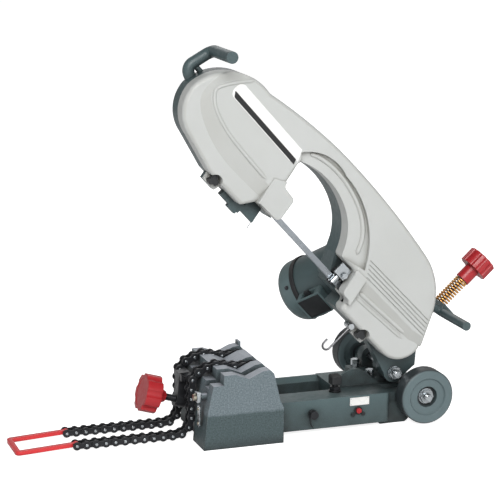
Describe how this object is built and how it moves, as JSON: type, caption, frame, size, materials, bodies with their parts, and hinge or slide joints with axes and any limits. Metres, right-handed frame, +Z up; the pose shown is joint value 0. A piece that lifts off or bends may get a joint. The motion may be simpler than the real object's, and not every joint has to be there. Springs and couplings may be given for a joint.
{
  "type": "metal-cutting band saw",
  "caption": "Pipe-cutting metal band saw on a low wheeled base: hinged saw arm with covered band wheels, slanted motor, vee block and double chain vise.",
  "frame": {"origin": "on the floor under the vee notch, in the plane of the blade", "axes": "+Z up, +X along the base from the chain side to the transport wheels, +Y away from the operator"},
  "size_m": [0.8503, 0.367, 0.6405],
  "materials": {
    "block_casting": "speckled grey casting",
    "base_paint": "dark slate paint on castings",
    "arm_paint": "dark slate paint on light castings",
    "cover_plastic": "warm light grey moulding",
    "red_plastic": "red knobs",
    "red_paint": "red paint",
    "slate_plastic": "dark slate moulding",
    "black_plastic": "black moulding",
    "chain_steel": "black oiled chain",
    "bright_steel": "bright zinc or plain steel",
    "latch_brass": "brass",
    "spring_zinc": "yellow zinc",
    "blade_steel": "bare band steel",
    "gear_steel": "oiled gear steel",
    "motor_core": "wound motor core",
    "wheel_casting": "plain light casting",
    "black_rubber": "black rubber",
    "wheel_rubber": "dark moulded rubber"
  },
  "bodies": {
    "base": {"base_frame": "base_paint", "vee_block": "block_casting", "base_bolts": "bright_steel", "pivot_bracket": "base_paint", "pivot_shaft": "bright_steel", "axle_nuts": "bright_steel", "wheel_axle": "bright_steel", "stop_stud": "chain_steel", "stop_bumper": "black_rubber", "button_trim": "black_rubber", "lock_peg": "chain_steel", "chain_anchor_pin": "chain_steel", "load_anchor_pin": "bright_steel", "chains": "chain_steel", "latch_barrel": "bright_steel"},
    "saw_arm": {"arm_frame": "arm_paint", "wheel_cover": "cover_plastic", "blade": "blade_steel", "gear_case": "arm_paint", "motor_housing": "arm_paint", "motor_stator": "motor_core", "motor_end_cap": "slate_plastic", "switch_box": "slate_plastic", "upper_guide": "chain_steel", "lower_guide": "chain_steel", "guide_cover_plate": "bright_steel", "front_handle": "arm_paint", "rear_handle": "arm_paint", "shaft_bearings": "gear_steel", "hook_pin": "bright_steel"},
    "lower_band_wheel": {"drive_wheel": "wheel_casting", "drive_tyre": "black_rubber", "drive_shaft": "bright_steel", "drive_gear": "gear_steel"},
    "tension_carriage": {"tension_slide": "bright_steel", "idler_axle": "bright_steel"},
    "upper_band_wheel": {"idler_wheel": "wheel_casting", "idler_tyre": "black_rubber", "idler_bearings": "gear_steel"},
    "load_rod": {"balance_rod": "bright_steel", "balance_spring": "spring_zinc"},
    "vise_spindle": {"vise_screw": "chain_steel", "vise_knob": "red_plastic"},
    "near_wheel": {"near_wheel": "wheel_rubber"},
    "far_wheel": {"far_wheel": "wheel_rubber"},
    "chain_tails": {"chain_tails": "chain_steel"},
    "chain_bail": {"chain_bail": "red_paint"},
    "chain_catch": {"chain_catch": "chain_steel"},
    "latch_pin": {"latch_pin": "latch_brass"},
    "reset_button": {"reset_button": "red_plastic"},
    "load_knob": {"load_knob": "red_plastic"},
    "tension_screw": {"tension_screw": "bright_steel"},
    "countershaft": {"countershaft": "gear_steel"},
    "armature": {"armature": "motor_core"},
    "lock_hook": {"lock_hook": "gear_steel"},
    "upper_cover_screw": {"upper_cover_screw": "black_plastic"},
    "lower_cover_screw": {"lower_cover_screw": "black_plastic"},
    "switch_lever": {"switch_lever": "black_plastic"},
    "front_guide_roller": {"front_guide_roller": "bright_steel"},
    "back_guide_roller": {"back_guide_roller": "bright_steel"}
  },
  "joints": [
    {"name": "arm_hinge", "type": "hinge", "parent": "base", "child": "saw_arm", "pos_m": [0.273, 0, 0.085], "axis": [0, 1, 0], "range_deg": [-47.5, 0], "deforming": ["balance_spring"]},
    {"name": "near_wheel_spin", "type": "hinge", "parent": "base", "child": "near_wheel", "pos_m": [0.318, -0.0025, 0.0485], "axis": [0, 1, 0], "continuous": true},
    {"name": "far_wheel_spin", "type": "hinge", "parent": "base", "child": "far_wheel", "pos_m": [0.318, 0.2835, 0.0485], "axis": [0, 1, 0], "continuous": true},
    {"name": "vise_screw_turn", "type": "hinge", "parent": "base", "child": "vise_spindle", "pos_m": [-0.061, 0.078, 0.049], "axis": [-0.9583, 0, 0.2857], "range_deg": [0, 2520]},
    {"name": "chain_catch_slide", "type": "slide", "parent": "base", "child": "chain_catch", "axis": [-0.9583, 0, 0.2857], "range_m": [0, 0.014]},
    {"name": "chain_tail_lift", "type": "hinge", "parent": "base", "child": "chain_tails", "pos_m": [-0.10723, 0.078, 0.0077], "axis": [0, 1, 0], "range_deg": [0, 30]},
    {"name": "bail_fold", "type": "hinge", "parent": "chain_tails", "child": "chain_bail", "pos_m": [-0.26598, 0.078, 0.0077], "axis": [0, 1, 0], "range_deg": [0, 110]},
    {"name": "latch_pull", "type": "slide", "parent": "base", "child": "latch_pin", "axis": [-1, 0, 0], "range_m": [0, 0.008], "stiffness_N_per_m": 400},
    {"name": "reset_press", "type": "slide", "parent": "base", "child": "reset_button", "axis": [0, 1, 0], "range_m": [0, 0.002], "stiffness_N_per_m": 400},
    {"name": "load_rod_swing", "type": "hinge", "parent": "base", "child": "load_rod", "pos_m": [0.28627, 0.1, 0.08088], "axis": [0, 1, 0], "range_deg": [-48.5, 0.5]},
    {"name": "load_knob_turn", "type": "hinge", "parent": "load_rod", "child": "load_knob", "pos_m": [0.43594, 0.1, 0.21803], "axis": [0.7373, 0, 0.6756], "range_deg": [-720, 720]},
    {"name": "drive_wheel_spin", "type": "hinge", "parent": "saw_arm", "child": "lower_band_wheel", "pos_m": [0.25834, 0, 0.22348], "axis": [0, 1, 0], "continuous": true},
    {"name": "tension_slide_move", "type": "slide", "parent": "saw_arm", "child": "tension_carriage", "axis": [0.6756, 0, -0.7373], "range_m": [0, 0.004]},
    {"name": "tension_screw_turn", "type": "hinge", "parent": "saw_arm", "child": "tension_screw", "pos_m": [-0.04107, 0.024, 0.53099], "axis": [0.6756, 0, -0.7373], "range_deg": [0, 1152]},
    {"name": "idler_wheel_spin", "type": "hinge", "parent": "tension_carriage", "child": "upper_band_wheel", "pos_m": [-0.03148, 0, 0.53977], "axis": [0, 1, 0], "continuous": true},
    {"name": "countershaft_spin", "type": "hinge", "parent": "saw_arm", "child": "countershaft", "pos_m": [0.25866, 0.068, 0.27531], "axis": [0, 1, 0], "continuous": true},
    {"name": "armature_spin", "type": "hinge", "parent": "saw_arm", "child": "armature", "pos_m": [0.25866, 0.068, 0.27531], "axis": [-0.5213, 0.7071, -0.4777], "continuous": true},
    {"name": "front_roller_spin", "type": "hinge", "parent": "saw_arm", "child": "front_guide_roller", "pos_m": [0.15232, -0.00588, 0.25925], "axis": [0.7373, 0, 0.6756], "continuous": true},
    {"name": "back_roller_spin", "type": "hinge", "parent": "saw_arm", "child": "back_guide_roller", "pos_m": [0.15232, 0.00588, 0.25925], "axis": [0.7373, 0, 0.6756], "continuous": true},
    {"name": "lock_hook_swing", "type": "hinge", "parent": "saw_arm", "child": "lock_hook", "pos_m": [0.18087, -0.0095, 0.17962], "axis": [0, 1, 0], "range_deg": [0, 19]},
    {"name": "upper_cover_screw_turn", "type": "hinge", "parent": "saw_arm", "child": "upper_cover_screw", "pos_m": [-0.05294, 0, 0.4333], "axis": [0, 1, 0], "continuous": true},
    {"name": "lower_cover_screw_turn", "type": "hinge", "parent": "saw_arm", "child": "lower_cover_screw", "pos_m": [0.1993, 0, 0.16395], "axis": [0, 1, 0], "continuous": true},
    {"name": "switch_toggle", "type": "hinge", "parent": "saw_arm", "child": "switch_lever", "pos_m": [0.15542, 0.11043, 0.20377], "axis": [-0.5213, 0.7071, -0.4777], "range_deg": [-12, 12]}
  ],
  "couplings": [
    {"joint": "load_rod_swing", "follows": "arm_hinge", "ratio": 1.0105},
    {"joint": "chain_catch_slide", "follows": "vise_screw_turn", "m_per_rad": 0.00031831},
    {"joint": "tension_screw_turn", "follows": "tension_slide_move", "rad_per_m": 5026.5},
    {"joint": "idler_wheel_spin", "follows": "drive_wheel_spin", "ratio": 1},
    {"joint": "countershaft_spin", "follows": "drive_wheel_spin", "ratio": -3.25},
    {"joint": "armature_spin", "follows": "drive_wheel_spin", "ratio": 11.375},
    {"joint": "front_roller_spin", "follows": "drive_wheel_spin", "ratio": 9.8182},
    {"joint": "back_roller_spin", "follows": "drive_wheel_spin", "ratio": -9.8182}
  ]
}
